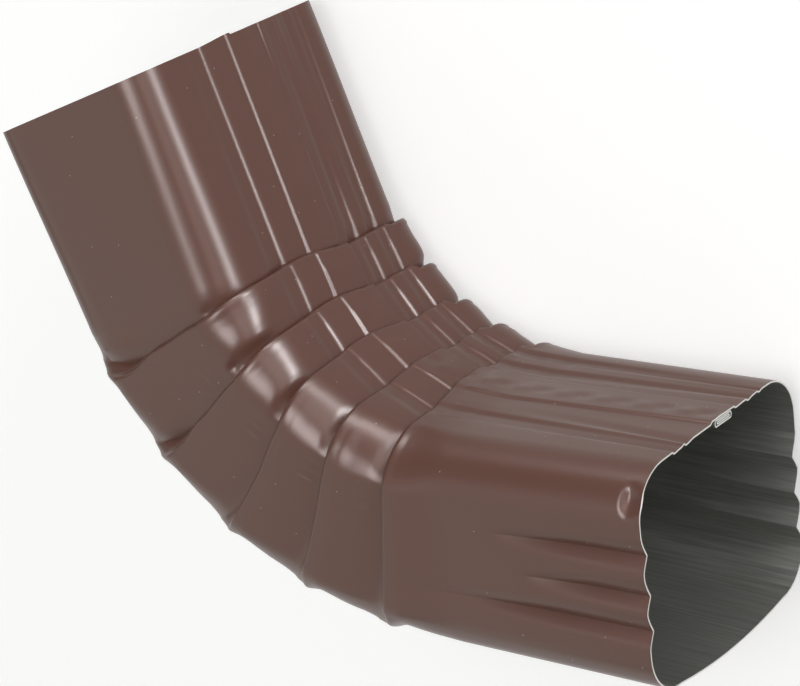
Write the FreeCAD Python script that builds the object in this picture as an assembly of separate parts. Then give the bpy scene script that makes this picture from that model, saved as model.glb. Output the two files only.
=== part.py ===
import FreeCAD, Part
import math
import os

# Downspout elbow: one length of painted aluminium sheet, rolled into a rounded
# rectangular tube, closed with a flat lock seam inside the throat face, ribbed along
# the throat and crimped five times into lapped folds that turn it through the bend.
#
# Frame: the elbow lies on one side face, with Z up across the pipe. X is the flow at
# the outlet. Y points from the heel, the outside of the bend, to the throat.

SIZES = [
    ("pipe_width", 82.6, "outside, from side face to side face"),
    ("pipe_depth", 60.3, "outside, from heel face to throat face"),
    ("corner_radius", 11.0, "outside corner of the tube"),
    ("sheet_thickness", 0.5, "aluminium coil"),
    ("heel_bow", 0.8, "how far the heel face bows outwards"),
    ("fold_angle", 14.0, "degrees turned at each fold"),
    ("fold_count", 5, "folds in the bend"),
    ("heel_pitch", 28.8, "from ridge to ridge along the heel"),
    ("inlet_leg", 73.4, "along the heel, from the inlet edge to the first ridge"),
    ("inlet_run", 61.4, "straight tube of it, from the inlet edge"),
    ("outlet_leg", 86.2, "along the heel, from the last ridge to the outlet edge"),
    ("bend_radius", 13.5, "outside corner in the bend"),
    ("outlet_width", 77.0, "outside width at the outlet edge"),
    ("outlet_depth", 63.0, "outside depth at the outlet edge"),
    ("outlet_drop", 1.5, "heel face at the outlet edge, below its own leg"),
    ("outlet_bow", 2.2, "how far the heel face bows there"),
    ("outlet_radius", 13.0, "outside corner at the outlet edge"),
    ("neck_reach", 62.0, "taper and longest flute, from the outlet edge"),
    ("tuck_gap", 0.45, "painted faces apart where the sheet turns back"),
    ("tuck_drop", 1.1, "end of the tucked layer below the plain side face"),
    ("throat_drop", 0.9, "how much deeper it ends on the throat face"),
    ("lip_rise", 1.6, "top of the lap above the plain side face"),
    ("throat_rise", 0.4, "how much higher it stands on the throat face"),
    ("throat_settle", 0.3, "how much lower each later fold lies on the throat face"),
    ("lip_height", 1.7, "from the middle layer to the top of the lap"),
    ("lip_nose", 0.6, "how far the rolled lip stands upstream of its fold"),
    ("ridge_width", 6.0, "heel ridge, each side of its fold"),
    ("ridge_dip", 1.1, "hollow behind each heel ridge"),
    ("groove_depth", 1.1, "ribbing of the throat face"),
    ("groove_width", 6.4, "one groove, from edge to edge"),
    ("groove_flank", 2.0, "slope at each side of a groove"),
    ("near_groove_share", 0.61, "its middle, as a share of the flat throat's half width"),
    ("far_groove_share", -0.545, "its middle, as a share of the flat throat's half width"),
    ("last_groove_share", -0.858, "its middle, as a share of the flat throat's half width"),
    ("seam_share", -0.112, "middle of the lock seam, as a share of the same"),
    ("seam_width", 11.6, "lock seam across the throat face"),
    ("seam_rise", 0.6, "throat face above the lock seam"),
    ("seam_thickness", 2.0, "four layers of sheet locked together"),
    ("flute_depth", 1.5, "grooves pressed into both sides of the outlet"),
    ("flute_pitch", 10.4, "from one flute to the next"),
    ("flute_place", 29.0, "middle flute, from the heel"),
]

doc = FreeCAD.newDocument("downspout_elbow")
sheet = doc.addObject("Spreadsheet::Sheet", "Sizes")
for row, (alias, value, note) in enumerate(SIZES, start=1):
    sheet.set("A%d" % row, note)
    sheet.set("B%d" % row, str(value))
    sheet.setAlias("B%d" % row, alias)
doc.recompute()

PIPE_WIDTH = float(sheet.get("pipe_width"))
PIPE_DEPTH = float(sheet.get("pipe_depth"))
CORNER_RADIUS = float(sheet.get("corner_radius"))
THICKNESS = float(sheet.get("sheet_thickness"))
FOLD_ANGLE = math.radians(float(sheet.get("fold_angle")))
FOLD_COUNT = int(sheet.get("fold_count"))
HEEL_PITCH = float(sheet.get("heel_pitch"))
OUTLET_LEG = float(sheet.get("outlet_leg"))
INLET_LEG = float(sheet.get("inlet_leg"))


def size(alias):
    return float(sheet.get(alias))


# The tube's outline
#
# An outline point is (height above the heel, place across, normal up, normal across,
# whether it lies over the lock seam).
# The points go round from the near corner of the throat, over the lock seam to its far
# corner, down the far side, across the heel and up the near side. Creases of ribs and
# flutes are points of their own, and corners are arcs.

CORNER_STEPS = 5
STEP_ANGLE = math.pi / 2 / CORNER_STEPS
FLUTE_COUNT = 3


def throat_places():
    # Places across the throat of its creases, as (place, lift above the plain face).
    flat = PIPE_WIDTH / 2 - CORNER_RADIUS
    half = size("seam_width") / 2
    middle = size("seam_share") * flat
    rise = size("seam_rise")
    creases = [(flat, 0.0), (-flat, 0.0)]
    creases += [(middle + half + THICKNESS, 0.0), (middle + half, rise)]
    creases += [(middle - half, rise), (middle - half - THICKNESS, 0.0)]
    edge = size("groove_width") / 2
    floor = edge - size("groove_flank")
    for name in ("near_groove_share", "far_groove_share", "last_groove_share"):
        for offset, lift in ((-edge, 0.0), (-floor, -1.0), (floor, -1.0), (edge, 0.0)):
            creases.append((size(name) * flat + offset, lift * size("groove_depth")))
    return sorted(creases, reverse=True)


def side_creases():
    # Heights of the creases of one side face, as (height, depth of flute), going down.
    first = size("flute_place") + FLUTE_COUNT / 2 * size("flute_pitch")
    creases = [(PIPE_DEPTH - CORNER_RADIUS, 0.0)]
    for step in range(2 * FLUTE_COUNT + 1):
        creases.append((first - step * size("flute_pitch") / 2, float(step % 2)))
    return creases + [(CORNER_RADIUS, 0.0)]


def corner(height, across, side, start, radius):
    # A quarter turn, with a point at each step and one halfway between two steps.
    points = []
    for number in range(2 * CORNER_STEPS + 1):
        angle = start + number * STEP_ANGLE / 2
        up = math.cos(angle)
        out = side * math.sin(angle)
        points.append((height + radius * up, across + radius * out, up, out, False))
    return points


def blend(low, high, share):
    return low + (high - low) * share


def outline(radius, share):
    # The outside of the tube at a place along it, as runs of points: a corner and the
    # face before it in turn. The share is 0 on the plain tube and 1 at the outlet edge.
    depth = blend(PIPE_DEPTH, size("outlet_depth"), share)
    bottom = -share * size("outlet_drop")
    reach = blend(PIPE_WIDTH, size("outlet_width"), share) / 2
    inset = reach - radius
    top = bottom + depth - radius
    foot = bottom + radius
    spread = inset / (PIPE_WIDTH / 2 - CORNER_RADIUS)
    throat = []
    for place, lift in throat_places():
        throat.append((bottom + depth + lift, place * spread, 1.0, 0.0, lift > 0.0))

    squeeze = (top - foot) / (PIPE_DEPTH - 2 * CORNER_RADIUS)
    near_side = []
    far_side = []
    for height, groove in side_creases():
        up = foot + (height - CORNER_RADIUS) * squeeze
        out = reach - share * groove * size("flute_depth")
        far_side.append((up, -out, 0.0, -1.0, False))
        near_side.insert(0, (up, out, 0.0, 1.0, False))

    bow = blend(size("heel_bow"), size("outlet_bow"), share)
    heel = []
    for across, height in ((-inset, bottom), (0.0, bottom - bow), (inset, bottom)):
        heel.append((height, across, -1.0, 0.0, False))
    quarter = math.pi / 2
    return [
        throat, corner(top, -inset, -1.0, 0.0, radius),
        far_side, corner(foot, -inset, -1.0, quarter, radius),
        heel, corner(foot, inset, 1.0, quarter, radius)[::-1],
        near_side, corner(top, inset, 1.0, 0.0, radius)[::-1],
    ]


# Rings of sheet
#
# A station is a plane across the tube, with its heel point, the direction of flow and
# the stretch of a slanted cut. A ring is the outline at a station, with every point
# moved along the flow and outwards by the profile of the sheet there.


def heel_points():
    # Heel points of the folds, from the last one, at the frame's start, back upstream.
    points = [(0.0, 0.0)]
    for fold in range(1, FOLD_COUNT):
        angle = FOLD_ANGLE * fold
        x, y = points[0]
        back_x = x - HEEL_PITCH * math.cos(angle)
        back_y = y + HEEL_PITCH * math.sin(angle)
        points.insert(0, (back_x, back_y))
    return points


def station(point, angle, stretch, along=0.0):
    x = point[0] + along * math.cos(angle)
    y = point[1] - along * math.sin(angle)
    return (x, y, angle, stretch)


def place_point(where, sample, shift):
    # An outline point in space, moved by (along the flow, outwards).
    x, y, angle, stretch = where
    height, across, up, side = sample[:4]
    along, out = shift
    rise = (height + out * up) * stretch
    point_x = x + rise * math.sin(angle) + along * math.cos(angle)
    point_y = y + rise * math.cos(angle) - along * math.sin(angle)
    return FreeCAD.Vector(point_x, point_y, PIPE_WIDTH / 2 + across + out * side)


def ring(where, runs, shift_of, rounded):
    # A closed wire of short edges. Where the tube is straight its corners are arcs, and
    # in the folds they are creased.
    pieces = []
    for number, samples in enumerate(runs):
        points = [place_point(where, sample, shift_of(sample)) for sample in samples]
        is_corner = number % 2 == 1
        if is_corner and rounded:
            for step in range(0, len(points) - 1, 2):
                pieces.append(Part.Arc(*points[step:step + 3]).toShape())
            continue
        if is_corner:
            points = points[::2]
        for start, end in zip(points, points[1:]):
            pieces.append(Part.LineSegment(start, end).toShape())
    return Part.Wire(pieces)


# The folded profile of the sheet
#
# Along the flow a fold is six points on the painted face: the tucked layer turns back
# at the first two, the middle layer runs back to the third, and the lip rolls over
# the fourth to the fifth, where the next gore lies on top. At the heel the same six
# points make a plain ridge, and the fold deepens with the height above it.

# Places of the six points on the heel ridge, as shares of its width to each side, and how
# much of the hollow beside the ridge each of them takes.
RIDGE_PLACES = (-1.0, -0.7, -0.35, -0.15, 0.05, 0.8)
HOLLOWS = (0.2, 0.0, 0.0, 0.0, 0.0, 1.0)
NOSE = 3


def opening(height):
    # 0 at the heel, and 1 above its corner, where the lip is fully rolled.
    return min(max(height / CORNER_RADIUS, 0.0), 1.0)


def fold_profile(fold, height, up):
    # Six points of the painted face at a height above the heel, each as (along the
    # flow, outwards), where the face looks up towards the throat by the share given.
    depth = max(height, 0.0) * math.tan(FOLD_ANGLE / 2)
    share = max(height, 0.0) / PIPE_DEPTH
    lip = opening(height)
    slope = math.tan(FOLD_ANGLE / 2)
    ridge = size("ridge_width")
    nose = size("lip_nose")
    throat = max(up, 0.0)
    settle = size("throat_settle") * fold
    rise = size("lip_rise") + (size("throat_rise") - settle) * throat
    under = rise - size("lip_height")
    tuck = -size("tuck_drop") - (size("throat_drop") + settle) * throat
    steps = [
        (depth, tuck), (depth, tuck + size("tuck_gap")), (share * nose, under),
        (-share * nose, (rise + under) / 2), (share * nose, rise), (share * ridge / 2, rise),
    ]
    points = []
    for place, hollow, (folded, out) in zip(RIDGE_PLACES, HOLLOWS, steps):
        along = blend(place * ridge, 0.0, share) + folded
        at_heel = -abs(place) * ridge * slope - hollow * size("ridge_dip")
        points.append((along, blend(at_heel, out, lip)))
    return points


def inner_profile(points):
    # The other face of the sheet: each point moved inwards by the sheet's thickness,
    # square to the two stretches that meet there.
    first = (points[0][0] - HEEL_PITCH, points[0][1])
    last = (points[-1][0] + HEEL_PITCH, points[-1][1])
    chain = [first] + points + [last]
    moved = []
    for before, here, after in zip(chain, chain[1:], chain[2:]):
        normals = []
        for start, end in ((before, here), (here, after)):
            run = end[0] - start[0]
            climb = end[1] - start[1]
            length = math.hypot(run, climb)
            normals.append((climb / length, -run / length))
        (ax, ay), (bx, by) = normals
        scale = THICKNESS / (1.0 + ax * bx + ay * by)
        moved.append((here[0] + (ax + bx) * scale, here[1] + (ay + by) * scale))
    return moved


NECK_SHARES = (0.0, 0.5, 1.0)


def skins():
    # Rings of the painted face and of the inside face, from the inlet to the outlet. The
    # inside has no ring at the nose, where the two layers lie close.
    painted = []
    inside = []
    ridges = heel_points()
    bent = outline(size("bend_radius"), 0.0)
    slant = 1.0 / math.cos(FOLD_ANGLE / 2)

    def add_plain(where, runs):
        def outer(sample):
            return (0.0, 0.0)

        def inner(sample):
            over_seam = sample[4]
            return (0.0, -size("seam_thickness") if over_seam else -THICKNESS)

        painted.append(ring(where, runs, outer, True))
        inside.append(ring(where, runs, inner, True))

    bend = FOLD_ANGLE * FOLD_COUNT
    add_plain(station(ridges[0], bend, 1.0, -INLET_LEG), outline(CORNER_RADIUS, 0.0))
    add_plain(station(ridges[0], bend, 1.0, size("inlet_run") - INLET_LEG), bent)

    for fold, heel in enumerate(ridges):
        angle = bend - FOLD_ANGLE * (fold + 0.5)
        where = station(heel, angle, slant)
        for step in range(len(RIDGE_PLACES)):
            def outer(sample, fold=fold, step=step):
                return fold_profile(fold, sample[0], sample[2])[step]

            def inner(sample, fold=fold, step=step):
                return inner_profile(fold_profile(fold, sample[0], sample[2]))[step]

            painted.append(ring(where, bent, outer, False))
            if step != NOSE:
                inside.append(ring(where, bent, inner, False))

    for share in NECK_SHARES:
        along = OUTLET_LEG - size("neck_reach") * (1.0 - share)
        radius = blend(size("bend_radius"), size("outlet_radius"), share)
        add_plain(station(ridges[-1], 0.0, 1.0, along), outline(radius, share))
    return painted, inside


def elbow_shape():
    # Both faces of the sheet as ruled skins, closed by the cut edges at the two ends.
    painted, inside = skins()
    faces = []
    for rings in (painted, inside, [painted[0], inside[0]], [painted[-1], inside[-1]]):
        faces += Part.makeLoft(rings, False, True).Faces
    skin = Part.Compound(faces)
    skin.sewShape()
    solid = Part.makeSolid(skin.Shells[0])
    if solid.Volume < 0:
        solid.reverse()
    return solid


elbow = doc.addObject("Part::Feature", "Elbow")
elbow.Label = "elbow"
elbow.Shape = elbow_shape()
box = elbow.Shape.BoundBox
elbow.Placement = FreeCAD.Placement(
    FreeCAD.Vector(-box.Center.x, -box.Center.y, -box.ZMin), FreeCAD.Rotation())
doc.recompute()

if "Invalid" in elbow.State or "Error" in elbow.State:
    raise RuntimeError("elbow did not build")
if elbow.Shape.isNull() or not elbow.Shape.isValid():
    raise RuntimeError("elbow has no valid shape")
print("solids", len(elbow.Shape.Solids), "faces", len(elbow.Shape.Faces),
      "volume", round(elbow.Shape.Volume, 1), "box", elbow.Shape.BoundBox)

os.makedirs("parts", exist_ok=True)
elbow.Shape.exportStep("parts/%s.step" % elbow.Label)
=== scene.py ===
import bpy
import math
from mathutils import Matrix, Vector


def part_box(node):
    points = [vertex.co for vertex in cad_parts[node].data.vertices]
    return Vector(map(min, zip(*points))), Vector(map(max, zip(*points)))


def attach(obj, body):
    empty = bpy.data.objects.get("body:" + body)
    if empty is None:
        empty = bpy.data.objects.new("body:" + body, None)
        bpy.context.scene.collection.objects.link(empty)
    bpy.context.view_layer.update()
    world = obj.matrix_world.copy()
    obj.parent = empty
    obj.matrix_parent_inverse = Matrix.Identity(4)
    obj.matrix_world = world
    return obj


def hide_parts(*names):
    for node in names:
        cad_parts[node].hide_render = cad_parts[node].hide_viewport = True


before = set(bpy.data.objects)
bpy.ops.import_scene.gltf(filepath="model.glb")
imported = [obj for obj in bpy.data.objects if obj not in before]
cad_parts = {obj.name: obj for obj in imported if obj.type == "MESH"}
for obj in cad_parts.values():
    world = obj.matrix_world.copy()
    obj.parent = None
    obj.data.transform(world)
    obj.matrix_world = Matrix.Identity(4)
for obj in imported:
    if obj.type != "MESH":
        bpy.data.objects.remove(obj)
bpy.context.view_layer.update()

# The elbow is one length of painted aluminium coil, a little under half a millimetre thick.
# Rollers turn it into a rounded rectangular tube with ribs along the throat, and a crimping
# die folds it over itself five times, deep at the throat and to a plain ridge at the heel.

# Lengths are in millimetres: along the flow, up from heel to throat, and across.
per_metre = 1000.0
tube_width = 82.6
tube_depth = 60.3
corner_radius = 11.0
bend_radius = 13.0
sheet_thickness = 0.45
heel_bow = 0.8
fold_angle = math.radians(14.0)
fold_count = 5
heel_pitch = 28.8
inlet_leg = 73.4
inlet_run = 61.4
outlet_leg = 86.2
outlet_width = 79.4
outlet_depth = 63.0
outlet_drop = 1.5
outlet_bow = 2.2
outlet_radius = 13.0
neck_reach = 62.0
seam_edge = 3.0
far_upstream = 1000.0

flat_half = tube_width / 2 - corner_radius
side_top = tube_depth - corner_radius
bend = fold_angle * fold_count
fold_slope = math.tan(fold_angle / 2)
fold_slant = 1.0 / math.cos(fold_angle / 2)

# Ribs and lock seam of the throat face, from its near corner to its far one, as places
# across and lifts at the inlet edge, in the bend and at the outlet edge
throat_ribs = [
    ((30.3, 0.0), (30.3, 0.0), (30.3, 0.0)), ((22.0, -0.1), (22.4, 0.0), (22.5, 0.08)),
    ((18.0, -0.4), (18.6, -0.5), (21.7, -0.52)), ((15.4, -0.5), (15.4, -0.6), (18.0, -0.22)),
    ((13.7, 0.1), (13.6, 0.1), (16.1, 0.15)), ((10.5, 0.4), (10.4, 0.25), (15.3, -0.45)),
    ((7.0, 0.45), (7.6, 0.25), (11.0, 0.08)), ((4.6, 0.4), (5.0, 0.25), (3.0, 0.08)),
    ((3.2, 0.9), (3.6, 0.85), (1.8, 0.68)), ((-4.0, 0.95), (-4.0, 0.85), (-4.0, 0.68)),
    ((-9.4, 0.6), (-9.4, 0.6), (-9.2, 0.6)), ((-10.3, 0.95), (-10.3, 0.1), (-10.0, 0.0)),
    ((-14.0, 0.5), (-13.0, 0.0), (-14.6, 0.15)), ((-16.2, 0.3), (-15.2, -0.6), (-15.6, 0.15)),
    ((-17.3, 0.7), (-16.8, -0.7), (-16.4, -0.45)), ((-19.6, 0.2), (-18.6, 0.0), (-19.5, 0.0)),
    ((-22.4, -0.2), (-22.4, 0.0), (-22.3, 0.15)), ((-23.3, 0.15), (-24.4, -0.6), (-23.1, -0.45)),
    ((-27.0, -0.35), (-26.8, -0.7), (-25.0, 0.0)), ((-28.4, 0.1), (-28.6, 0.0), (-28.0, 0.0)),
    ((-30.3, 0.0), (-30.3, 0.0), (-30.3, 0.0))]

# Flutes pressed into the sides at the outlet, as (place on the side, length), how deep they
# are on each side, and how a flute falls off towards the heel and towards the throat, as
# (half width, power). A flute starts narrower than it ends, and deepens fast.
near_flutes = [(40.1, 46.0), (28.5, 37.0), (18.3, 64.0)]
far_flutes = [(37.0, 47.0), (26.2, 40.0), (15.4, 60.0)]
near_flute_depth = 2.1
far_flute_depth = 2.7
flute_to_heel = (4.4, 1.15)
flute_to_throat = (6.0, 1.6)
flute_start_width = 0.6
flute_deepening = 1.8
flute_run_in = 0.7


def ease(value):
    # A smooth step from 0 to 1.
    value = min(max(value, 0.0), 1.0)
    return value * value * (3.0 - 2.0 * value)


def rising(value, start, end):
    # A smooth step from 0 at the start to 1 at the end, which may be the lower one.
    return ease((value - start) / (end - start))


def hump(value, middle, reach):
    # 1 at the middle, easing to 0 at the reach on both sides of it.
    return ease(1.0 - abs(value - middle) / reach)


def blend(low, high, share):
    return low + (high - low) * share


def spaced(start, end, step):
    # Places from start up to, but without, end.
    count = max(1, round(abs(end - start) / step))
    return [start + (end - start) * number / count for number in range(count)]


def along_knots(knots, place):
    # The value at a place between knots of (place, value), eased from knot to knot.
    for (before, low), (after, high) in zip(knots, knots[1:]):
        if (place - before) * (place - after) <= 0.0:
            return blend(low, high, rising(place, before, after))
    return knots[-1][1]


def rib_lift(place, state):
    # The lift of the throat face at a place, as the ribs run on between the three shapes.
    first = 0 if state < 1.0 else 1
    share = min(state - first, 1.0)
    knots = [(blend(rib[first][0], rib[first + 1][0], share),
              blend(rib[first][1], rib[first + 1][1], share)) for rib in throat_ribs]
    return along_knots(knots, place)


# The columns of the sheet, from one edge of the lock seam round the tube to the other, each
# as (part of the outline, place on it). The stretches give the first place, the end and the
# spacing: close over ribs, flutes and corners, and wide on the plain faces.
stretches = [
    ("throat", seam_edge, 5.4, 0.4), ("throat", 5.4, 14.0, 0.9), ("throat", 14.0, 24.0, 0.55),
    ("throat", 24.0, flat_half, 1.0), ("near top", 0.0, 90.0, 5.6),
    ("near side", side_top, corner_radius, 1.15), ("near heel", 90.0, 180.0, 8.0),
    ("heel", flat_half, -flat_half, 6.0), ("far heel", 180.0, 90.0, 12.0),
    ("far side", corner_radius, side_top, 2.1), ("far top", 90.0, 0.0, 8.0),
    ("throat", -flat_half, -22.0, 0.8), ("throat", -22.0, -14.0, 0.6),
    ("throat", -14.0, -10.6, 0.9), ("throat", -10.6, -9.0, 0.27), ("throat", -9.0, 1.6, 1.0),
    ("throat", 1.6, seam_edge, 0.2)]
beside_valley = 0.3
valleys = [middle + beside for middle, length in near_flutes
           for beside in (-beside_valley, 0.0, beside_valley)]
columns = []
for part, first, last, step in stretches:
    places = spaced(first, last, step)
    if part == "near side":
        places = sorted(places + valleys, reverse=True)
    columns += [(part, place) for place in places]
columns.append(("throat", seam_edge))


def flute_lift(place, flutes, depth, from_edge):
    # How far a side face is pressed in at a place, so far upstream of the outlet edge.
    lift = 0.0
    for middle, length in flutes:
        share = 1.0 - from_edge / length
        if share <= 0.0:
            continue
        half, power = flute_to_heel if place < middle else flute_to_throat
        near = max(1.0 - abs(place - middle) / (half * blend(flute_start_width, 1.0, share)), 0.0)
        lift -= depth * near ** power * min(1.0, flute_deepening * share) ** flute_run_in
    return lift


def outline(column, radius, share, from_edge, state):
    # A point of the tube's outline, as (height, across, how far it faces up and to the
    # side, place). The share runs from 0 on the plain tube to 1 at the outlet edge, and
    # the state of the ribs from 0 at the inlet edge over 1 in the bend to 2 at the outlet.
    part, place = column
    depth = blend(tube_depth, outlet_depth, share)
    bottom = -outlet_drop * share
    half_width = blend(tube_width, outlet_width, share) / 2
    inset = half_width - radius
    if part == "throat":
        # The ribs stay where they are, and only the face's ends move with the corners.
        across = place * (1.0 - (1.0 - inset / flat_half) * (place / flat_half) ** 4)
        return (bottom + depth + rib_lift(place, state), across, 1.0, 0.0, place)
    if part == "heel":
        bow = blend(heel_bow, outlet_bow, share) * (1.0 - (place / flat_half) ** 2)
        return (bottom - bow, place * inset / flat_half, -1.0, 0.0, flat_half)
    hand = 1.0 if part.startswith("near") else -1.0
    if part.endswith("side"):
        squeeze = (depth - 2 * radius) / (tube_depth - 2 * corner_radius)
        height = bottom + radius + (place - corner_radius) * squeeze
        if hand > 0:
            pressed = flute_lift(place, near_flutes, near_flute_depth, from_edge)
        else:
            pressed = flute_lift(place, far_flutes, far_flute_depth, from_edge)
        return (height, hand * (half_width + pressed), 0.0, hand, flat_half)
    up = math.cos(math.radians(place))
    side = hand * math.sin(math.radians(place))
    middle = bottom + depth - radius if part.endswith("top") else bottom + radius
    return (middle + radius * up, hand * inset + radius * side, up, side, flat_half)


def on_throat(sample):
    # Whether a point of the outline faces straight up, on the flat throat face.
    return sample[2] > 0.999


def cut_at(heel, angle, along):
    # A square cut across a straight leg, so far along from a point of its heel, as
    # (x, y, angle, stretch).
    return (heel[0] + along * math.cos(angle), heel[1] - along * math.sin(angle), angle, 1.0)


def formed(cut, sample, along, out):
    # A point of the sheet in space, from a cut across the tube and a point of its outline.
    x, y, angle, stretch = cut
    height, across, up, side = sample[:4]
    rise = (height + out * up) * stretch
    return Vector((
        x + rise * math.sin(angle) + along * math.cos(angle),
        y + rise * math.cos(angle) - along * math.sin(angle),
        across + out * side))


def facing(angle, up, side):
    # The outward direction of the sheet on a leg or gore at an angle.
    return Vector((up * math.sin(angle), up * math.cos(angle), side)).normalized()


ridges = [(0.0, 0.0)]
for fold in range(1, fold_count):
    angle = fold_angle * fold
    ridges.insert(0, (ridges[0][0] - heel_pitch * math.cos(angle),
                      ridges[0][1] + heel_pitch * math.sin(angle)))

# The crimping die pushes the first heel ridges a little further out, each as (x, y), and
# the push dies out towards the throat by this power.
ridge_push = [(-1.6, -0.6), (-1.5, 0.4), (-1.2, -0.3), (0.0, -0.4), (0.0, 0.0)]
push_power = 1.6

# One fold, along the flow: the sheet goes under the next gore, turns back, runs back up and
# rolls over into the lip. At the throat the lip stands lower and the tuck goes deeper with
# every fold.
tuck_gap = 0.45
tuck_depth = 1.1
tuck_lead_in = 0.8
tuck_lead_rise = 0.15
throat_tucks = [0.9, 1.2, 1.5, 1.8, 2.1]
lip_height = 1.7
lip_rise = 1.6
throat_rises = [0.4, 0.1, -0.2, -0.5, -0.8]
lip_nose = 1.0
lip_bead = 0.25
nose_start = -0.3
nose_points = 7
nose_lead = 0.2
ridge_width = 6.0
ridge_dip = 1.5
far_corner_share = 0.8
corner_power = 0.6

# Each fold line bows downstream up the side and over the throat, and at the near corner
# and throat the die holds it back by a lead.
fold_bulges = [1.0, 2.2, 2.9, 1.7, 2.9]
bulge_up_side = (0.0, 9.0)
bulge_over_throat = (-6.0, 36.0)
lip_leads = [3.4, 3.2, 3.7, 1.3, 0.0]
lead_at_corner = 0.35
lead_up_side = (30.0, 45.0)
lead_over_throat = (-8.0, 14.0)

# Beside the first two ridges the near side's lip stands back and leaves a hollow open, here
# as the slide of each lip, how far a face must turn to the side to have it, and the
# hollow's (height, reach). The gore before runs on nearly level into it.
lip_slides = [2.7, 1.6, 0.0, 0.0, 0.0]
hollow_folds = 2
hollow_side = 0.3
hollow_place = (15.5, 14.0)
hollow_slip = 0.2
hollow_start = 0.4
hollow_level = 0.05
hollow_depth = 1.2

# The lip rolls higher over the four layers of the lock seam, and further back. The rise
# starts at the far edge of the seam and fades to the near side.
seam_rise = 0.35
seam_pull = 0.8
seam_starts = (-10.4, -9.2)
seam_fades = (14.0, 1.0)


def corner_share(sample):
    # 1 at the near corner beside the throat, less at the far one, 0 on the flat faces.
    up, side = sample[2:4]
    if up <= 0.0:
        return 0.0
    return (4.0 * up * up * side * side) ** corner_power * (1.0 if side > 0.0 else far_corner_share)


# Each gore's swelling at its corner, from its own lip to the next: the first two swell most
# before the next lip, the next two ease down, run level and drop under the next lip, and
# the last one dies out on the outlet leg.
gore_swells = [
    [(0.0, 0.9), (0.7, 2.0), (1.0, 0.4)],
    [(0.0, 1.0), (0.7, 1.4), (1.0, 0.0)],
    [(0.0, 1.0), (0.55, 0.6), (0.75, 0.55), (1.0, -0.4)],
    [(0.0, 0.9), (0.35, 0.45), (0.75, 0.4), (1.0, -0.5)],
    [(0.0, 0.25), (0.4, 0.05), (1.0, 0.0)],
]


def over_seam(sample):
    # 1 where the lip rolls over the lock seam, fading to the near side.
    if not on_throat(sample):
        return 0.0
    return rising(sample[4], *seam_starts) * rising(sample[4], *seam_fades)


def fold_bulge(fold, sample):
    # How far downstream a fold line lies at a column.
    height, across, up, side, place = sample
    bulge = fold_bulges[fold] * rising(height, *bulge_up_side)
    bulge *= max(side, rising(place, *bulge_over_throat))
    if on_throat(sample):
        bulge -= lip_leads[fold] * rising(place, *lead_over_throat)
    elif side > 0.0:
        lead = lip_leads[fold] * blend(lead_at_corner, 1.0, max(up, 0.0))
        bulge -= lead * rising(height, *lead_up_side)
    return bulge


def fold_profile(fold, sample):
    # The fold at one column, as rows of (along the flow, out of the sheet).
    height, across, up, side, place = sample
    bulge = fold_bulge(fold, sample)
    proud = gore_swells[fold][0][1] * corner_share(sample)
    depth = max(height, 0.0) * fold_slope
    share = max(height, 0.0) / tube_depth
    lip = min(2.0 * rising(height, 0.0, 2.0 * corner_radius), 1.0)
    throat = max(up, 0.0)
    seam = over_seam(sample)
    rise = lip_rise + throat_rises[fold] * throat + seam_rise * seam
    tuck = -tuck_depth - throat_tucks[fold] * throat
    under = rise - lip_height
    turn = tuck_gap / 2
    pull = seam_pull * seam
    bead = lip_bead * corner_share(sample)
    hollow = 0.0
    if side > hollow_side and fold < hollow_folds:
        hollow = hump(height, *hollow_place)
    slide = lip_slides[fold] * hollow
    # Each step is (its place in the heel's ridge, along, out, how much of the dip beside
    # the ridge it takes).
    steps = [
        # The gore before comes to the fold and goes under the next one.
        (-1.2, blend(depth - turn - tuck_lead_in, hollow_slip * slide - hollow_start, hollow) - slide,
         blend(tuck + tuck_lead_rise, -hollow_level, hollow), 0.3),
        (-1.0, depth - turn, tuck - hollow_depth * hollow, 0.2),
        # It turns back on itself.
        (-0.85, depth, tuck + turn, 0.1),
        (-0.7, depth - turn, tuck + tuck_gap, 0.0),
        # It runs back up to the lip's underside.
        (-0.5, depth * 0.5, blend(tuck + tuck_gap, under, 0.5), 0.0),
        (-0.36, share * 0.5 - pull, under, 0.0)]
    for number in range(nose_points):
        # The lip's nose is a half circle.
        turned = math.radians(-90.0 - 180.0 * number / (nose_points - 1))
        steps.append((nose_start * (1.0 - number / (nose_points - 1)),
                      share * lip_nose * (math.cos(turned) + nose_lead) - pull,
                      under + lip_height / 2 * (1.0 + math.sin(turned)), 0.0))
    steps += [
        # A bead stands along the lip's back, with a thin groove behind it.
        (0.15, share * 0.7 - pull, rise + bead * 0.6, 0.1),
        (0.4, share * 1.5 - pull * 0.6, rise - bead * 0.7, 0.5),
        (0.8, share * 2.8, rise - bead * 0.4, 1.0)]
    points = []
    for step, along, out, dip in steps:
        at_heel = -abs(step) * ridge_width * fold_slope - dip * ridge_dip
        top = min(max(2.0 - 2.0 * step / nose_start, 0.0), 1.0)
        points.append((blend(step * ridge_width, 0.0, share) + along + slide + bulge,
                       blend(at_heel, out, lip) + proud * top))
    return points


# In the bend the crimping die irons out a part of each rib where it folds the sheet, fills
# the far corner and flattens the near one.
ironed_share = 0.25
far_corner_fill = 0.85
near_corner_fill = -1.2
fill_power = 1.2

bent = [outline(column, bend_radius, 0.0, far_upstream, 1.0) for column in columns]
rib_rest = []
for number, sample in enumerate(bent):
    height, across, up, side, place = sample
    rest = ironed_share * rib_lift(place, 1.0) if on_throat(sample) else 0.0
    rib_rest.append(rest)
    fuller = 0.0
    if up > 0.0 and side != 0.0:
        fuller = far_corner_fill if side < 0.0 else near_corner_fill
        fuller *= (2.0 * up * abs(side)) ** fill_power
    bent[number] = (height - rest + fuller * up, across + fuller * side, up, side, place)


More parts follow.
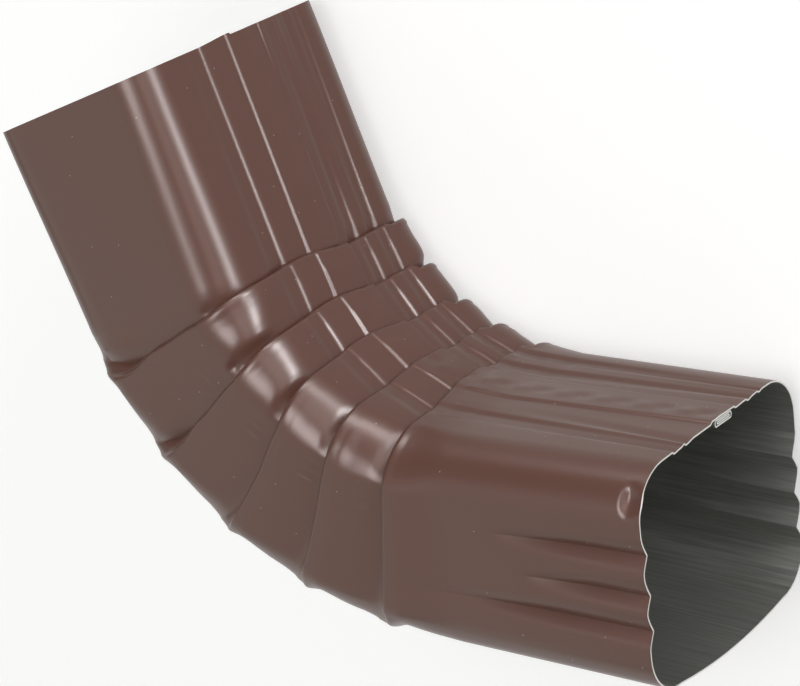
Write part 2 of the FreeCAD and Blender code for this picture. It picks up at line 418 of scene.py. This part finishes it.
def leg_row(heel, angle, along, radius, share, from_edge, state):
    # A row of the sheet across a straight leg.
    cut = cut_at(heel, angle, along)
    return [formed(cut, outline(column, radius, share, from_edge, state), 0.0, 0.0)
            for column in columns]


# How a gore is shaped between its folds: how much of it shows before the next lip, at the
# heel and at the throat, how its ribs start and end, how far its heel bows out, how far its
# middle crowns and how far its throat sinks to the near side.
gore_shows = (0.93, 0.60)
rib_starts = 0.2
rib_ends = 0.15
gore_bow = 0.35
gore_crown = 0.15
gore_sink = 0.6
# How strongly the side is puckered before each fold, where the puckers lie on it, as
# (height, reach), how close they are, and where they start and end on the gore
puckers = [0.0, 0.1, 0.16, 0.32, 0.34]
pucker_place = (42.0, 7.0)
pucker_turn = 2.1
pucker_starts = (0.4, 0.8)
pucker_ends = (1.0, 0.875)
pucker_side = 0.5


def rows_between(first, last, fold, places, swell):
    # Rows of one stretch of sheet between two rings, ending in a fold.
    angle = bend - fold_angle * fold
    rows = []
    for place in places:
        row = []
        for start, end, sample, rest in zip(first, last, bent, rib_rest):
            height, across, up, side, over = sample
            share = min(place / blend(*gore_shows, max(height, 0.0) / tube_depth), 1.0)
            proud = swell[0][1] * (1.0 - place) if fold > 0 else 0.0
            out = (along_knots(swell, share) - proud) * corner_share(sample)
            out += rest * rising(share, 0.0, rib_starts) * rising(share, 1.0, 1.0 - rib_ends)
            if fold > 0 and up < 0.0:
                out -= gore_bow * up * math.sin(math.pi * share)
            if 0 < fold < fold_count:
                out += gore_crown * math.sin(math.pi * share)
                out -= gore_sink * share * max(up, 0.0) * (over / flat_half + 1.0) / 2.0
            if side > pucker_side and fold < fold_count:
                pinch = hump(height, *pucker_place) * rising(share, *pucker_starts)
                pinch *= rising(share, *pucker_ends)
                out += puckers[fold] * pinch * math.sin(height * pucker_turn)
            row.append(start.lerp(end, place) + facing(angle, up, side) * out)
        rows.append(row)
    return rows


# The inlet edge is cut a little out of square, longer at the throat, and uneven where the
# layers of the seam end. Both fade out up the leg.
edge_longer = (-0.2, 1.3)
edge_step = 0.55
edge_step_starts = (2.0, 2.6)
edge_step_ends = (16.0, 3.0)
edge_fades = 1.8
# The throat face flares towards the inlet edge and is drawn in on its near half towards the
# bend. The near side leans in at the edge, the heel stands out all along, and the far
# corner fills out towards the bend.
inlet_flare = 1.3
near_draw = 0.7
near_lean = 1.0
heel_stand = 1.0
corner_swell = 0.9
leg_step = 2.8

rows = []
upstream = Vector((-math.cos(bend), math.sin(bend), 0.0))
for along in spaced(-inlet_leg, inlet_run - inlet_leg, leg_step) + [inlet_run - inlet_leg]:
    state = (along + inlet_leg) / inlet_run
    radius = blend(corner_radius, bend_radius, ease(state))
    row = leg_row(ridges[0], bend, along, radius, 0.0, far_upstream, state)
    for number, (height, across, up, side, place) in enumerate(bent):
        longer = blend(*edge_longer, height / tube_depth)
        if on_throat(bent[number]):
            longer += edge_step * rising(place, *edge_step_starts) * rising(place, *edge_step_ends)
        near = 0.0 if side < 0.0 else (place / flat_half + 1.0) / 2.0
        outward = heel_stand * ease(-up)
        outward += (inlet_flare - (inlet_flare + near_draw * near) * state) * max(up, 0.0)
        if side < 0.0 and up > 0.0:
            outward += corner_swell * math.sqrt(up * -side * 2.0) * state
        if side > 0.0:
            outward -= near_lean * (1.0 - state) * side * max(height / tube_depth, 0.0)
        row[number] += upstream * longer * ease(1.0 - state * edge_fades)
        row[number] += facing(bend, up, side) * outward
    rows.append(row)

# Between the folds the rows stand closer where the sheet is curved.
first_places = [0.12, 0.22, 0.32, 0.42, 0.54, 0.64, 0.72, 0.78, 0.83, 0.88]
gore_places = [0.04, 0.08, 0.13, 0.18, 0.24, 0.3, 0.36, 0.42, 0.47, 0.51, 0.55, 0.59, 0.64,
               0.7, 0.75, 0.8, 0.84, 0.88]
neck_places = [0.06, 0.13, 0.22, 0.33, 0.45, 0.6, 0.8]
plain_swell = [(0.0, 0.0), (1.0, 0.0)]
for fold, heel in enumerate(ridges):
    cut = (heel[0], heel[1], bend - fold_angle * (fold + 0.5), fold_slant)
    profiles = [fold_profile(fold, sample) for sample in bent]
    folded = []
    for step in range(len(profiles[0])):
        row = []
        for sample, profile in zip(bent, profiles):
            low_share = max(1.0 - max(sample[0], 0.0) / tube_depth, 0.0) ** push_power
            push = Vector((*ridge_push[fold], 0.0)) * low_share
            row.append(formed(cut, sample, *profile[step]) + push)
        folded.append(row)
    if fold == 0:
        rows += rows_between(rows[-1], folded[0], fold, first_places, plain_swell)
    else:
        rows += rows_between(rows[-1], folded[0], fold, gore_places, gore_swells[fold - 1])
    rows += folded

# After the last fold the outlet leg is drawn from the tube's section to the outlet's. Its
# rows stand close at the edge, where the flutes are deep.
edge_zone = 9.0
neck_step = 2.2
edge_spacing = 0.75
first_neck = leg_row(ridges[-1], 0.0, outlet_leg - neck_reach, bend_radius, 0.0, neck_reach, 1.0)
rows += rows_between(rows[-1], first_neck, fold_count, neck_places, gore_swells[-1])
for from_edge in (spaced(neck_reach, edge_zone, neck_step)
                  + spaced(edge_zone, 0.0, edge_spacing) + [0.0]):
    share = 1.0 - from_edge / neck_reach
    radius = blend(bend_radius, outlet_radius, share)
    rows.append(leg_row(ridges[-1], 0.0, outlet_leg - from_edge, radius, share, from_edge,
                        1.0 + share))

# Pinched pits lie where the first two lips start, each as (fold, height), at this place
# before the ridge and under the side's face. They face a little up.
pits = [(0, 51.0), (1, 49.3)]
pit_before = 8.6
pit_inset = 0.3
pit_facing = (0.25, 0.97)
pit_reach = 2.08
pit_depth = 1.1
# The dent beside the outlet edge is a shallow bowl, as its middle (x, y), its reach towards
# the bend, the edge and up and down, the ring where its flat floor ends, and its depth.
dent_middle = (82.2, 54.0)
dent_to_bend = 2.3
dent_to_edge = 5.5
dent_up = 4.4
dent_floor = 1.0 / 6.0
dent_depth = 1.6
# The seam roller leaves even bumps over the seam, slanting across it.
roller_lift = 0.28
roller_pitch = 12.6
roller_slant = 0.36
roller_band = (-2.2, 3.0)

pit_places = []
for fold, height in pits:
    angle = bend - fold_angle * fold
    x, y = cut_at(ridges[fold], angle, -pit_before)[:2]
    middle = Vector((x + height * math.sin(angle), y + height * math.cos(angle),
                     tube_width / 2 - pit_inset))
    pit_places.append((middle, facing(angle, *pit_facing)))
for row in rows:
    for sample, point in zip(bent, row):
        for middle, outward in pit_places:
            point -= outward * pit_depth * hump((point - middle).length, 0.0, pit_reach)
        if sample[3] > 0.0:
            reach = dent_to_bend if point.x < dent_middle[0] else dent_to_edge
            ring = math.hypot((point.x - dent_middle[0]) / reach,
                              (point.y - dent_middle[1]) / dent_up)
            point.z -= dent_depth * rising(ring, 1.0, dent_floor)
        if on_throat(sample):
            wave = math.sin((point.x - roller_slant * point.y) * 2 * math.pi / roller_pitch)
            point.y += roller_lift * wave * hump(sample[4], *roller_band)

low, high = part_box("elbow")
start = Vector((high.x * per_metre - outlet_leg, low.y * per_metre + outlet_drop + outlet_bow,
                (low.z + high.z) * per_metre / 2))
merge_distance = 0.00002
smooth_angle = math.radians(50)


def sheet_piece(name, points, girth, flow, thickness, materials):
    # A piece of sheet: the flat coil is a grid, and every point of it is carried to its
    # place in the formed tube. Girth and flow are its lengths across and along the coil,
    # and the last two materials are those of its inside and its cut edge.
    across_count = len(points[0])
    bpy.ops.object.select_all(action="DESELECT")
    bpy.ops.mesh.primitive_grid_add(x_subdivisions=across_count - 1,
                                    y_subdivisions=len(points) - 1, size=1.0, calc_uvs=True)
    sheet = bpy.context.object
    sheet.name = name
    for number, vertex in enumerate(sheet.data.vertices):
        row, column = divmod(number, across_count)
        vertex.co = (points[row][column] + start) / per_metre
        vertex.co.z = max(vertex.co.z, 0.0)
    uv = sheet.data.uv_layers.active
    for loop in sheet.data.loops:
        row, column = divmod(loop.vertex_index, across_count)
        uv.data[loop.index].uv = (girth[column] / per_metre, flow[row] / per_metre)
    bpy.ops.object.mode_set(mode="EDIT")
    bpy.ops.mesh.select_all(action="SELECT")
    bpy.ops.mesh.remove_doubles(threshold=merge_distance)
    bpy.ops.mesh.select_all(action="SELECT")
    bpy.ops.mesh.normals_make_consistent(inside=False)
    bpy.ops.object.mode_set(mode="OBJECT")
    sheet.data.materials.clear()
    for material in materials:
        sheet.data.materials.append(material)
    thicken = sheet.modifiers.new("thickness", "SOLIDIFY")
    thicken.thickness = thickness / per_metre
    thicken.offset = -1.0
    thicken.material_offset = len(materials) - 2
    thicken.material_offset_rim = len(materials) - 1
    bpy.ops.object.modifier_apply(modifier=thicken.name)
    bpy.ops.object.shade_smooth_by_angle(angle=smooth_angle)
    return sheet


def linear(code):
    # A hex colour as linear red, green, blue and alpha.
    parts = [int(code[start:start + 2], 16) / 255 for start in (1, 3, 5)]
    return tuple(part / 12.92 if part <= 0.04045 else ((part + 0.055) / 1.055) ** 2.4
                 for part in parts) + (1.0,)


def add_node(tree, kind, settings=None, values=None, links=None):
    # A node of a kind, with its settings, the values of its sockets and the sockets that
    # feed it.
    node = tree.nodes.new(kind)
    for name, value in (settings or {}).items():
        setattr(node, name, value)
    for name, value in (values or {}).items():
        node.inputs[name].default_value = value
    for name, source in (links or {}).items():
        tree.links.new(source, node.inputs[name])
    return node


# Brown baked enamel, roller coated on the coil: half gloss, with a faint orange peel and
# some dust.
enamel = bpy.data.materials.new("brown_baked_enamel")
enamel.use_nodes = True
tree = enamel.node_tree
shader = tree.nodes["Principled BSDF"]
shader.inputs["IOR"].default_value = 1.33
sheet_uv = add_node(tree, "ShaderNodeUVMap", {"uv_map": "UVMap"})
peel = add_node(tree, "ShaderNodeTexNoise", {"noise_dimensions": "2D"},
                {"Scale": 1 / 0.0016, "Detail": 2.0}, {"Vector": sheet_uv.outputs["UV"]})
peel_bump = add_node(tree, "ShaderNodeBump", None, {"Strength": 0.12, "Distance": 0.0001},
                     {"Height": peel.outputs[0]})
tree.links.new(peel_bump.outputs["Normal"], shader.inputs["Normal"])
patches = add_node(tree, "ShaderNodeTexNoise", {"noise_dimensions": "2D"},
                   {"Scale": 1 / 0.022, "Detail": 3.0}, {"Vector": sheet_uv.outputs["UV"]})
gloss = add_node(tree, "ShaderNodeMapRange", None, {"To Min": 0.285, "To Max": 0.325},
                 {"Value": patches.outputs[0]})
tree.links.new(gloss.outputs[0], shader.inputs["Roughness"])
grains = add_node(tree, "ShaderNodeTexVoronoi", {"voronoi_dimensions": "2D"},
                  {"Scale": 1 / 0.011}, {"Vector": sheet_uv.outputs["UV"]})
dust = add_node(tree, "ShaderNodeMapRange", None,
                {"From Min": 0.012, "From Max": 0.022, "To Min": 1.0, "To Max": 0.0},
                {"Value": grains.outputs["Distance"]})
some = add_node(tree, "ShaderNodeMath", {"operation": "GREATER_THAN"}, {1: 0.62},
                {0: grains.outputs["Color"]})
dusty = add_node(tree, "ShaderNodeMath", {"operation": "MULTIPLY"}, None,
                 {0: dust.outputs[0], 1: some.outputs[0]})
paint = add_node(tree, "ShaderNodeMix", {"data_type": "RGBA"}, None, {0: dusty.outputs[0]})
paint.inputs[6].default_value = linear("#624238")
paint.inputs[7].default_value = linear("#9a8a80")
tree.links.new(paint.outputs[2], shader.inputs["Base Color"])

# Thin grey wash coat over the mill-finish aluminium inside, brushed by the rollers.
wash = bpy.data.materials.new("grey_wash_coat")
wash.use_nodes = True
tree = wash.node_tree
shader = tree.nodes["Principled BSDF"]
shader.inputs["Metallic"].default_value = 0.7
sheet_uv = add_node(tree, "ShaderNodeUVMap", {"uv_map": "UVMap"})
drawn = add_node(tree, "ShaderNodeMapping", None, {"Scale": (1 / 0.0008, 1 / 0.03, 1.0)},
                 {"Vector": sheet_uv.outputs["UV"]})
streaks = add_node(tree, "ShaderNodeTexNoise", {"noise_dimensions": "2D"},
                   {"Scale": 1.0, "Detail": 4.0}, {"Vector": drawn.outputs[0]})
tone = add_node(tree, "ShaderNodeMix", {"data_type": "RGBA"}, None, {0: streaks.outputs[0]})
tone.inputs[6].default_value = linear("#71726e")
tone.inputs[7].default_value = linear("#a0a19c")
tree.links.new(tone.outputs[2], shader.inputs["Base Color"])
dullness = add_node(tree, "ShaderNodeMapRange", None, {"To Min": 0.3, "To Max": 0.42},
                    {"Value": streaks.outputs[0]})
tree.links.new(dullness.outputs[0], shader.inputs["Roughness"])

# Bare aluminium where the sheet was sheared.
bare = bpy.data.materials.new("sheared_aluminium_edge")
bare.use_nodes = True
shader = bare.node_tree.nodes["Principled BSDF"]
shader.inputs["Base Color"].default_value = linear("#c6c6c2")
shader.inputs["Metallic"].default_value = 1.0
shader.inputs["Roughness"].default_value = 0.35

# The flow is measured down a column of the near corner beside the throat.
flow_column = len(columns) // 4
girth = [0.0]
for before, here in zip(rows[0], rows[0][1:]):
    girth.append(girth[-1] + (here - before).length)
flow = [0.0]
for before, here in zip(rows, rows[1:]):
    flow.append(flow[-1] + (here[flow_column] - before[flow_column]).length)
elbow = sheet_piece("elbow_sheet", rows, girth, flow, sheet_thickness, (enamel, wash, bare))
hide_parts("elbow")
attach(elbow, "root")

# The lock seam closes the tube under the throat. The sheet's hooked edges lie in a flat
# folded strip along both legs, rolled shut round an inner hook, and show as layers at the
# ends.
seam_middle = -3.4
seam_clearance = 1.1
strip_thickness = 0.4
strip_nose = 0.8
# The outlet's strip stands just proud of the edge. The inlet's runs past the leg's nominal
# end but stops short of the edge, which is cut longer there, and follows the leg's flare.
outlet_proud = 0.05
outlet_rings = 15
outlet_spacing = 4.0
inlet_past_end = 0.6
inlet_rings = 12
inlet_spacing = 4.6
inlet_draw = 1.65
strip_flow = 4.0
round_points = 12
round_turn = 15.0
round_nose = [math.radians(90.0 + round_turn * number) for number in range(round_points)]


def seam_ring(cut, depth, state, half, deep):
    # The strip's outline under the throat face at a cut across a leg.
    edge = [(math.sin(turned) * deep / 2, half - strip_nose - strip_nose * math.cos(turned))
            for turned in round_nose]
    strip_outline = [(out, seam_middle + side) for out, side in edge]
    strip_outline += [(-out, seam_middle - side) for out, side in edge]
    strip_outline.append(strip_outline[0])
    ring = []
    for out, place in strip_outline:
        under = depth + rib_lift(place, state) - sheet_thickness - seam_clearance
        ring.append(formed(cut, (under, place, 1.0, 0.0), 0.0, out))
    return ring


def seam_strip(name, rings):
    # A flattened tube of sheet through rings of points.
    around = [float(column) for column in range(len(rings[0]))]
    along = [strip_flow * row for row in range(len(rings))]
    strip = sheet_piece(name, rings, around, along, strip_thickness, (wash, bare))
    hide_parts("elbow")
    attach(strip, "root")


# The strip and the hook inside it, each as (name, half its width, how deep it is)
for name, half, deep in (("lock_seam", 4.3, 2.1), ("seam_hook", 3.3, 1.0)):
    rings = []
    for number in range(outlet_rings):
        from_edge = outlet_spacing * number
        share = 1.0 - from_edge / neck_reach
        depth = blend(tube_depth, outlet_depth, share) - outlet_drop * share
        cut = cut_at(ridges[-1], 0.0, outlet_leg - from_edge + outlet_proud)
        rings.append(seam_ring(cut, depth, 1.0 + share, half, deep))
    seam_strip(name + "_outlet", rings)
    rings = []
    for number in range(inlet_rings):
        along = inlet_spacing * number
        state = along / inlet_run
        depth = tube_depth + inlet_flare - inlet_draw * state
        cut = cut_at(ridges[0], bend, along - inlet_leg - inlet_past_end)
        rings.append(seam_ring(cut, depth, state, half, deep))
    seam_strip(name + "_inlet", rings)

# The studio: a plain white floor and a white surround. The floor looks white to the camera
# and in reflections, and throws back only a matt light.
floor_size = 6.0
bpy.ops.object.select_all(action="DESELECT")
bpy.ops.mesh.primitive_plane_add(size=floor_size, location=(0.0, 0.0, 0.0))
floor = bpy.context.object
floor.name = "floor"
floor_paint = bpy.data.materials.new("white_sweep")
floor_paint.use_nodes = True
tree = floor_paint.node_tree
tree.nodes.clear()
path = add_node(tree, "ShaderNodeLightPath")
seen = add_node(tree, "ShaderNodeMath", {"operation": "ADD"}, None,
                {0: path.outputs["Is Camera Ray"], 1: path.outputs["Is Glossy Ray"]})
through = add_node(tree, "ShaderNodeMath", {"operation": "ADD", "use_clamp": True}, None,
                   {0: seen.outputs[0], 1: path.outputs["Is Transmission Ray"]})
white = add_node(tree, "ShaderNodeMath", {"operation": "MULTIPLY"}, {1: 0.55},
                 {0: through.outputs[0]})
matt = add_node(tree, "ShaderNodeBsdfDiffuse", None, {"Color": (0.62, 0.62, 0.61, 1.0)})
glow = add_node(tree, "ShaderNodeEmission", None, {"Color": (1.0, 1.0, 1.0, 1.0)},
                {"Strength": white.outputs[0]})
both = add_node(tree, "ShaderNodeAddShader", None, None,
                {0: matt.outputs[0], 1: glow.outputs[0]})
add_node(tree, "ShaderNodeOutputMaterial", None, None, {"Surface": both.outputs[0]})
floor.data.materials.append(floor_paint)

world = bpy.data.worlds.new("studio")
bpy.context.scene.world = world
world.use_nodes = True
tree = world.node_tree
tree.nodes["Background"].inputs["Color"].default_value = (0.86, 0.88, 0.86, 1.0)
tree.nodes["Background"].inputs["Strength"].default_value = 0.42

# Two soft fills light the paint and are not mirrored in it, and eight soft boxes only show
# as reflections. Each is (name, direction from the elbow, width, height, watts, tint), in
# metres, and all of a kind stand at one distance.
elbow_middle = Vector((0.0, 0.0, 0.03))
fill_distance = 1.6
box_distance = 1.4
fills = [
    ("top_fill", (0.1, 0.3, 0.95), 1.2, 1.2, 10.5, (1.0, 0.99, 0.98)),
    ("back_fill", (0.75, 0.65, 0.15), 1.0, 0.6, 11.0, (1.0, 0.99, 0.98))]
boxes = [
    ("overhead_box", (0.06, 0.2, 0.97), 0.5, 0.7, 22.0, (1.0, 0.98, 1.0)),
    ("right_box", (0.97, 0.2, 0.12), 0.36, 0.34, 13.5, (1.0, 0.99, 1.0)),
    ("right_back_box", (0.78, 0.6, 0.12), 0.6, 0.36, 34.0, (1.0, 0.99, 1.0)),
    ("high_right_box", (0.7, 0.3, 0.65), 0.8, 0.5, 4.5, (1.0, 1.0, 1.0)),
    ("back_box", (0.1, 0.97, 0.2), 1.5, 0.4, 32.0, (1.0, 0.99, 1.0)),
    ("high_back_box", (0.39, 0.68, 0.62), 0.7, 0.7, 6.0, (1.0, 0.99, 1.0)),
    ("left_sky", (-0.58, -0.35, 0.74), 1.5, 1.4, 8.5, (0.9, 1.0, 0.99)),
    ("front_box", (-0.65, -0.75, 0.2), 1.2, 0.6, 2.6, (0.92, 1.0, 0.97))]
for lamps, distance, lights_paint in ((fills, fill_distance, True), (boxes, box_distance, False)):
    for name, direction, width, height, power, tint in lamps:
        toward = Vector(direction).normalized()
        lamp = bpy.data.lights.new(name, "AREA")
        lamp.shape = "RECTANGLE"
        lamp.size = width
        lamp.size_y = height
        lamp.energy = power
        lamp.color = tint
        holder = bpy.data.objects.new(name, lamp)
        holder.location = elbow_middle + toward * distance
        holder.rotation_euler = toward.to_track_quat("Z", "Y").to_euler()
        bpy.context.collection.objects.link(holder)
        holder.visible_diffuse = lights_paint
        holder.visible_glossy = not lights_paint

# The camera looks down on the elbow as the picture does. Its focal length was found in
# pixels of the picture.
sensor_width = 36.0
picture_width = 800
focal_pixels = 3001.57
camera = bpy.data.cameras.new("camera")
camera.sensor_width = sensor_width
camera.lens = focal_pixels / picture_width * sensor_width
camera_object = bpy.data.objects.new("camera", camera)
bpy.context.collection.objects.link(camera_object)
right = Vector((0.80619, -0.10888, -0.58155))
up = Vector((-0.12377, 0.93014, -0.34572))
back = Vector((0.57857, 0.35070, 0.73639))
axes = [[right[n], up[n], back[n]] for n in range(3)]
camera_place = Vector((0.479246, 0.284120, 0.650406))
camera_object.matrix_world = Matrix.Translation(camera_place) @ Matrix(axes).to_4x4()
bpy.context.scene.camera = camera_object
bpy.context.scene.view_settings.view_transform = "Standard"
